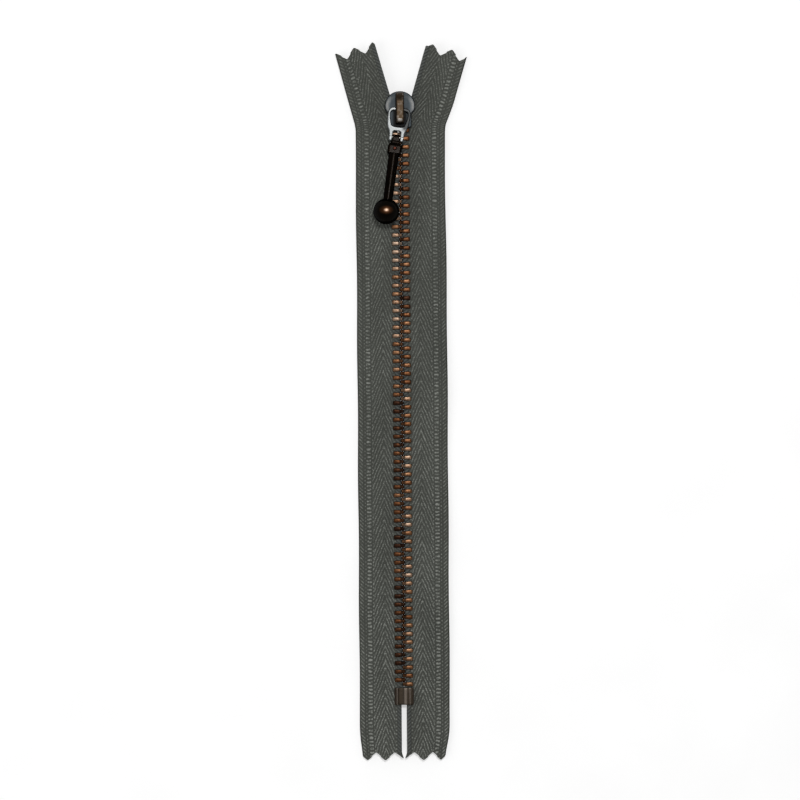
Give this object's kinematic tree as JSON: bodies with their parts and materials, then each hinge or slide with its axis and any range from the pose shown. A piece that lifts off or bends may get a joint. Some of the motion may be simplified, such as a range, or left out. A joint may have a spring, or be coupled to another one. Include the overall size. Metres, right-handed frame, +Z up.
{
  "type": "zipper",
  "caption": "Closed-end metal zipper lying flat and closed: woven tapes with pinked ends, interlocking toothed chain, locking slider with a wishbone clip and ball pull.",
  "frame": {"origin": "under the middle of the whole zipper, on the surface it lies on", "axes": "+X across to the right-hand tape, +Y along the chain to the slider end, +Z up out of the front face"},
  "size_m": [0.0384, 0.2107, 0.011],
  "materials": {
    "tape_weave": "matte herringbone-woven tape, grey green",
    "bead_cord": "matte cord, grey green",
    "tooth_copper": "antique copper with worn bright faces",
    "stop_bronze": "dark antique bronze",
    "slider_nickel": "nickel plate, softly polished",
    "cap_bronze": "antique brass, satin",
    "clip_nickel": "bright nickel plate",
    "pin_steel": "plain steel",
    "lock_steel": "plain spring steel",
    "drop_bronze": "near-black antique bronze lacquer, glossy",
    "rivet_copper": "dark copper"
  },
  "bodies": {
    "bottom_end": {"bottom_stop": "stop_bronze"},
    "left_stringer": {"left_tape": "tape_weave", "left_bead_cord": "bead_cord", "left_teeth": "tooth_copper", "left_top_stop": "tooth_copper"},
    "right_stringer": {"right_tape": "tape_weave", "right_bead_cord": "bead_cord", "right_teeth": "tooth_copper", "right_top_stop": "tooth_copper"},
    "slider": {"slider_body": "slider_nickel", "bridge_cap": "cap_bronze", "pawl_spring": "lock_steel"},
    "pawl": {"locking_pawl": "lock_steel"},
    "clip": {"pull_clip": "clip_nickel", "clip_pin": "pin_steel"},
    "drop": {"drop_head": "drop_bronze", "drop_rivet": "rivet_copper", "drop_stem": "drop_bronze", "drop_ball": "drop_bronze"}
  },
  "joints": [
    {"name": "slider_travel", "type": "slide", "parent": "bottom_end", "child": "slider", "axis": [0, 1, 0], "range_m": [-0.1636, 0], "deforming": ["left_tape", "right_tape", "left_bead_cord", "right_bead_cord", "left_teeth", "right_teeth"]},
    {"name": "left_opening", "type": "hinge", "parent": "bottom_end", "child": "left_stringer", "pos_m": [-0.0014, -0.0814, 0.00205], "axis": [0, 0, 1], "range_deg": [0, 16]},
    {"name": "right_opening", "type": "hinge", "parent": "bottom_end", "child": "right_stringer", "pos_m": [0.0014, -0.0814, 0.00205], "axis": [0, 0, -1], "range_deg": [0, 16]},
    {"name": "clip_flip", "type": "hinge", "parent": "slider", "child": "clip", "pos_m": [0, 0.0853, 0.0047], "axis": [-0.9903, 0.1392, 0], "range_deg": [0, 130]},
    {"name": "pawl_lift", "type": "hinge", "parent": "slider", "child": "pawl", "pos_m": [0, 0.0884, 0.0055], "axis": [-1, 0, 0], "range_deg": [0, 5]},
    {"name": "drop_swing", "type": "hinge", "parent": "clip", "child": "drop", "pos_m": [-0.00114, 0.07718, 0.0047], "axis": [-0.9903, 0.1392, 0], "range_deg": [0, 45]}
  ],
  "couplings": [
    {"joint": "left_opening", "follows": "slider_travel", "rad_per_m": -1.7069},
    {"joint": "right_opening", "follows": "slider_travel", "rad_per_m": -1.7069},
    {"joint": "pawl_lift", "follows": "clip_flip", "ratio": 0.0384}
  ]
}
